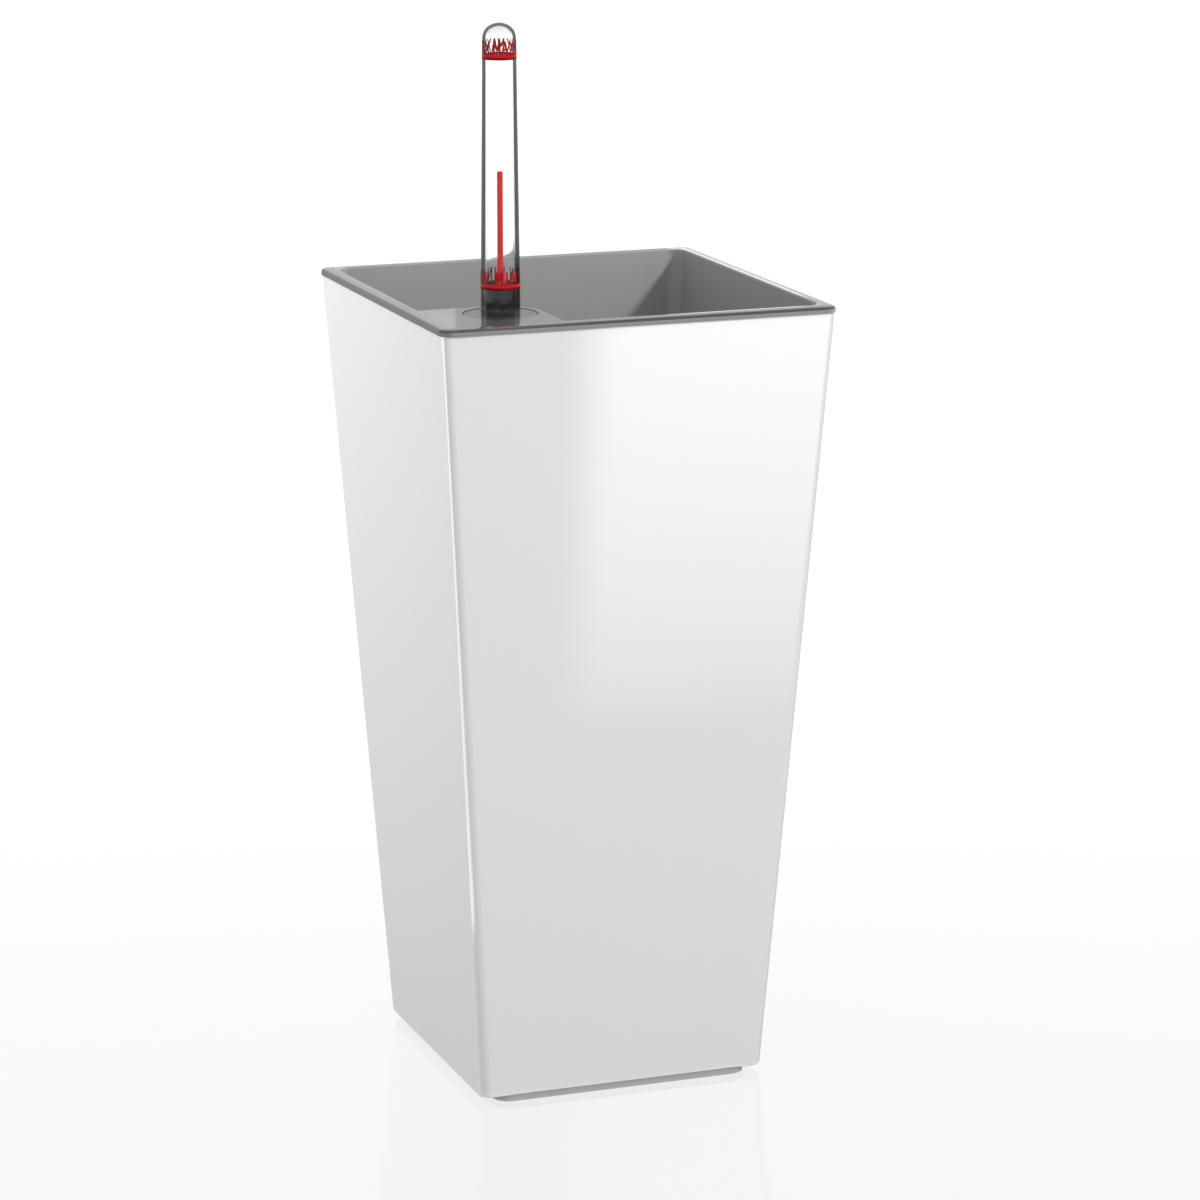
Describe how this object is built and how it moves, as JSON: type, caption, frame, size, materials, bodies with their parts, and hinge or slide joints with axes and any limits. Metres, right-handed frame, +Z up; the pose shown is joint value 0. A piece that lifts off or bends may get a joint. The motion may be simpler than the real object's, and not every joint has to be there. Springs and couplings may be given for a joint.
{
  "type": "self watering planter",
  "caption": "Tall square tapered planter with a lift-out planting liner over a water reservoir, wicking baskets and a float level indicator under a clear domed cap.",
  "frame": {"origin": "on the ground, under the middle of the planter's square plan", "axes": "+Z up, along the indicator's tube; -Y towards the front; the indicator stands in the -X, -Y corner"},
  "size_m": [0.136, 0.136, 0.3586],
  "materials": {
    "planter_gloss_white": "high gloss, white",
    "foot_rubber": "matte, dark grey",
    "liner_grey": "satin gloss, mid grey",
    "cover_grey": "satin gloss, mid grey",
    "basket_grey": "matte, dark grey",
    "tube_black": "satin, black",
    "cap_clear": "clear moulded plastic",
    "float_foam": "fine closed-cell foam, off-white",
    "rod_red": "gloss, red",
    "print_red": "printed marks, red"
  },
  "bodies": {
    "planter": {"outer_planter": "planter_gloss_white", "front_foot_rail": "foot_rubber", "rear_foot_rail": "foot_rubber"},
    "liner": {"planting_liner": "liner_grey", "water_shaft": "liner_grey", "wicking_basket_rear_left": "basket_grey", "wicking_basket_rear_right": "basket_grey", "wicking_basket_front_right": "basket_grey"},
    "separator": {"separator_grid": "basket_grey"},
    "indicator": {"shaft_cover": "cover_grey", "indicator_tube": "tube_black", "rod_guide": "tube_black", "inlet_strainer": "tube_black"},
    "cap": {"indicator_cap": "cap_clear"},
    "float": {"float_body": "float_foam", "float_rod": "rod_red"}
  },
  "joints": [
    {"name": "liner_lift", "type": "slide", "parent": "planter", "child": "liner", "axis": [0, 0, 1], "range_m": [0, 0.265]},
    {"name": "separator_lift", "type": "slide", "parent": "liner", "child": "separator", "axis": [0, 0, 1], "range_m": [0, 0.175]},
    {"name": "indicator_lift", "type": "slide", "parent": "liner", "child": "indicator", "axis": [0, 0, 1], "range_m": [0, 0.265]},
    {"name": "cap_pull", "type": "slide", "parent": "indicator", "child": "cap", "axis": [0, 0, 1], "range_m": [0, 0.09]},
    {"name": "float_travel", "type": "slide", "parent": "indicator", "child": "float", "axis": [0, 0, 1], "range_m": [-0.037, 0.037]}
  ]
}
